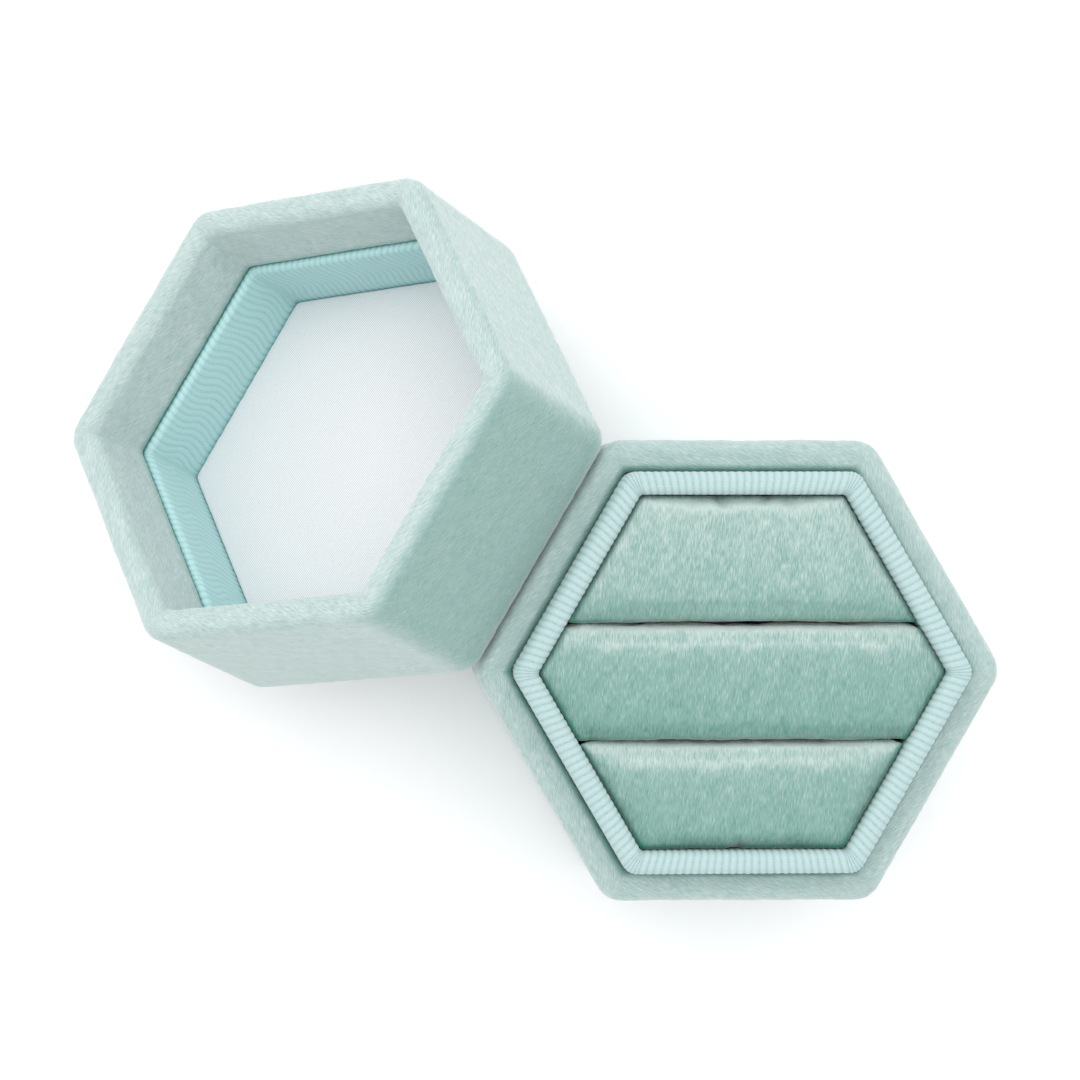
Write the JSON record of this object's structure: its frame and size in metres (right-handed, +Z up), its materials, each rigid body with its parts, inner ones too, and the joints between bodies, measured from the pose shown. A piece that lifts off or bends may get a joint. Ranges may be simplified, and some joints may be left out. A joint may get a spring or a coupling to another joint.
{
  "type": "ring box",
  "caption": "Hexagonal velvet ring box with two ring slots between soft pads, a ribbon-covered collar and a loose velvet lid lined with satin.",
  "frame": {"origin": "centre of the base's underside, on the surface that the box stands on", "axes": "+Z up; the ring slots run along X; the lid leans at the side of the base that faces 150 degrees from +X"},
  "size_m": [0.0973, 0.0751, 0.045],
  "materials": {
    "velvet": "short-pile velvet, soft sheen",
    "pad_velvet": "short-pile velvet, brushed along the slots",
    "ribbon": "ribbed grosgrain, soft sheen",
    "satin": "fine satin twill, low sheen",
    "liner": "flat flocked sheet, matte",
    "board": "grey box board, matte",
    "card": "white-backed card, matte",
    "foam": "soft open-cell foam, matte"
  },
  "bodies": {
    "base": {"base_underside_cover": "liner", "base_bottom_board": "board", "base_wall_board": "board", "base_velvet_wrap": "velvet", "collar_board": "card", "collar_ribbon": "ribbon", "cushion_card": "card", "back_foam": "foam", "middle_foam": "foam", "front_foam": "foam", "back_pad_velvet": "pad_velvet", "middle_pad_velvet": "pad_velvet", "front_pad_velvet": "pad_velvet"},
    "lid": {"lid_wall_board": "board", "lid_top_board": "board", "lid_top_padding": "foam", "lid_velvet_wrap": "velvet", "lid_ring_card": "card", "lid_ring_ribbon": "ribbon", "satin_card": "card", "satin_foam": "foam", "satin_cover": "satin"}
  },
  "joints": [
    {"name": "lid_turn_over", "type": "hinge", "parent": "base", "child": "lid", "pos_m": [-0.02443, 0.0141, 0.0421], "axis": [0.5, 0.866, 0], "range_deg": [0, 218.25]}
  ]
}
